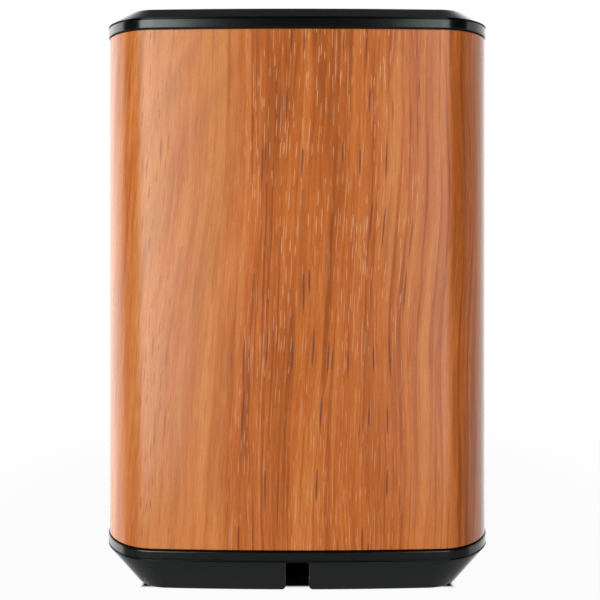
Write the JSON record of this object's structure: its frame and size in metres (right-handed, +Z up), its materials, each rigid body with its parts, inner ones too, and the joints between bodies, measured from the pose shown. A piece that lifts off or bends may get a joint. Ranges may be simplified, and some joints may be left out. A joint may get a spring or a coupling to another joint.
{
  "type": "air quality monitor",
  "caption": "Desk air quality monitor: a wood-wrapped rounded square column with a black bevelled cap and base, a display and grille in front, and a cable notch behind.",
  "frame": {"origin": "on the table plane under the middle of the column", "axes": "+Z up the column, +Y towards the cable notch at the back, the display faces -Y"},
  "size_m": [0.095, 0.095, 0.1395],
  "materials": {
    "wood_veneer": "satin veneer",
    "black_plastic": "fine matte",
    "panel_plastic": "fine matte",
    "button_plastic": "fine matte",
    "smoked_window": "polished",
    "light_pipe": "milky",
    "filter_cloth": "woven",
    "rubber": "matte",
    "foam": "open cell",
    "screw_steel": "zinc plated",
    "insert_brass": "knurled",
    "spring_steel": "drawn",
    "inner_plastic": "moulded",
    "circuit_board": "solder mask",
    "module_board": "solder mask",
    "chip_epoxy": "moulded",
    "sensor_metal": "tin plated",
    "connector_nylon": "moulded",
    "led_resin": "clear",
    "display_glass": "polished",
    "ribbon_film": "film",
    "sensor_case": "moulded",
    "copper_winding": "enamelled",
    "fan_plastic": "moulded",
    "cell_wrap": "shrink film",
    "lead_red": "wire jacket",
    "lead_white": "wire jacket"
  },
  "bodies": {
    "housing": {"base_ring": "black_plastic", "base_screws": "screw_steel", "base_tray": "black_plastic", "battery_cells": "cell_wrap", "battery_contacts": "sensor_metal", "battery_holder": "inner_plastic", "battery_lead": "lead_red", "board_screws": "screw_steel", "body_shell": "inner_plastic", "boss_inserts": "insert_brass", "button_board": "circuit_board", "button_spring": "spring_steel", "buzzer": "chip_epoxy", "chassis": "inner_plastic", "co2_sensor": "sensor_case", "display_module": "display_glass", "display_ribbon": "ribbon_film", "display_window": "smoked_window", "dust_mesh": "filter_cloth", "fan_stator": "copper_winding", "front_panel": "panel_plastic", "hcho_sensor": "sensor_metal", "humidity_sensor": "chip_epoxy", "indicator_leds": "led_resin", "intake_seal": "foam", "light_pipe": "light_pipe", "main_pcb": "circuit_board", "pcb_chips": "chip_epoxy", "pcb_connectors": "connector_nylon", "pm_optics": "chip_epoxy", "pm_sensor_case": "sensor_case", "pm_sensor_lid": "sensor_case", "probe_board": "circuit_board", "rubber_feet": "rubber", "sensor_lead": "lead_white", "shield_can": "sensor_metal", "tact_switch": "chip_epoxy", "top_lid": "black_plastic", "top_ring": "black_plastic", "usb_board": "circuit_board", "usb_lead": "lead_red", "usb_socket": "sensor_metal", "voc_sensor": "sensor_metal", "wireless_module": "module_board", "wood_wrap": "wood_veneer"},
    "fan": {"fan_rotor": "fan_plastic"},
    "button": {"top_button": "button_plastic"}
  },
  "joints": [
    {"name": "fan_spin", "type": "hinge", "parent": "housing", "child": "fan", "pos_m": [-0.028, -0.0296, 0.048], "axis": [0, 1, 0], "continuous": true},
    {"name": "button_press", "type": "slide", "parent": "housing", "child": "button", "axis": [0, 0, -1], "range_m": [0, 0.0007], "stiffness_N_per_m": 1500, "springref_m": -0.0003, "deforming": ["button_spring"]}
  ]
}
